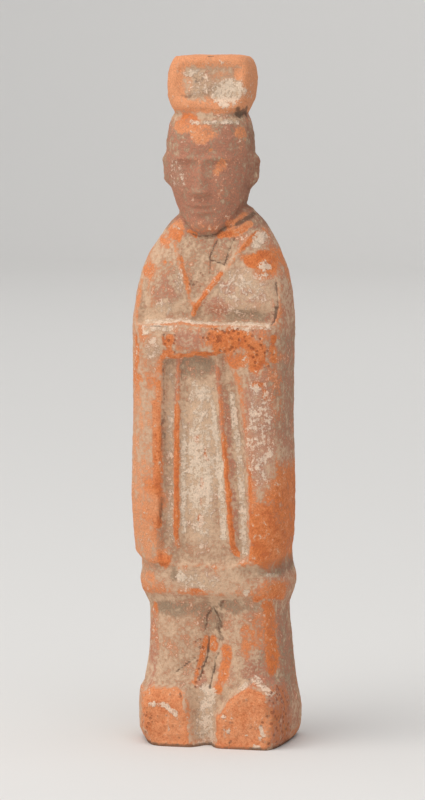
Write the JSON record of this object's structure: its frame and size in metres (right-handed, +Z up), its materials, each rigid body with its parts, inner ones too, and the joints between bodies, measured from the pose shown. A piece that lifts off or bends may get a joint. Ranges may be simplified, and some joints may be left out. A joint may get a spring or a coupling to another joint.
{
  "type": "tomb figure",
  "caption": "Standing robed attendant in a box-shaped cap, hands joined inside hanging sleeves; a solid press-moulded earthenware figure that stands on its own flat underside.",
  "frame": {"origin": "middle of the figure's box, on the ground it stands on", "axes": "+Z up along the figure, the face and the hanging sleeves look along -Y, +X to the figure's own left"},
  "size_m": [0.0498, 0.0372, 0.2097],
  "materials": {
    "earthenware": "unglazed orange-red fired clay under worn remains of pale slip and grey-brown burial earth, fully matt"
  },
  "bodies": {
    "root": {"attendant_figure": "earthenware"}
  },
  "joints": []
}
